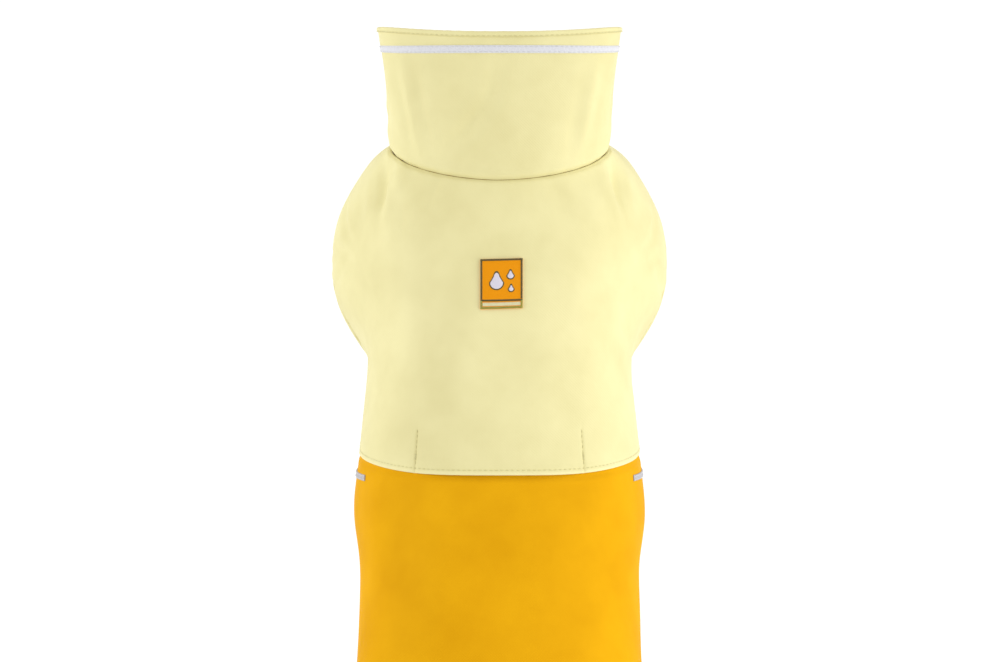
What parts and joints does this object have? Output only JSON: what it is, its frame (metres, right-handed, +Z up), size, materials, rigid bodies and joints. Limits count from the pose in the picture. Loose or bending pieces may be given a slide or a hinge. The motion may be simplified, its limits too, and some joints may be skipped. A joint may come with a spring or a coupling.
{
  "type": "dog raincoat",
  "caption": "Pull-on dog raincoat with a tall tube collar, yoke, short sleeves, back and belly panels and reflective tape, filled out as worn.",
  "frame": {"origin": "inside of the cloth in the middle of the back at the withers, where the wearer holds it", "axes": "+X to the wearer's right, +Y towards the head, +Z up"},
  "size_m": [0.222, 0.54, 0.3187],
  "materials": {
    "pale_shell": "matte fine plain weave, pale yellow, waterproof shell",
    "amber_shell": "matte fine plain weave, amber, waterproof shell",
    "reflective_tape": "smooth silver-grey reflective tape",
    "woven_patch": "plain woven patch with a dark stitched border"
  },
  "bodies": {
    "root": {"yoke": "pale_shell", "collar": "pale_shell", "collar_rim_binding": "pale_shell", "sleeve_right": "pale_shell", "sleeve_left": "pale_shell", "back_panel": "amber_shell", "belly_panel": "amber_shell", "collar_reflective_tape": "reflective_tape", "flank_tape_right": "reflective_tape", "flank_tape_left": "reflective_tape", "woven_patch": "woven_patch"}
  },
  "joints": []
}
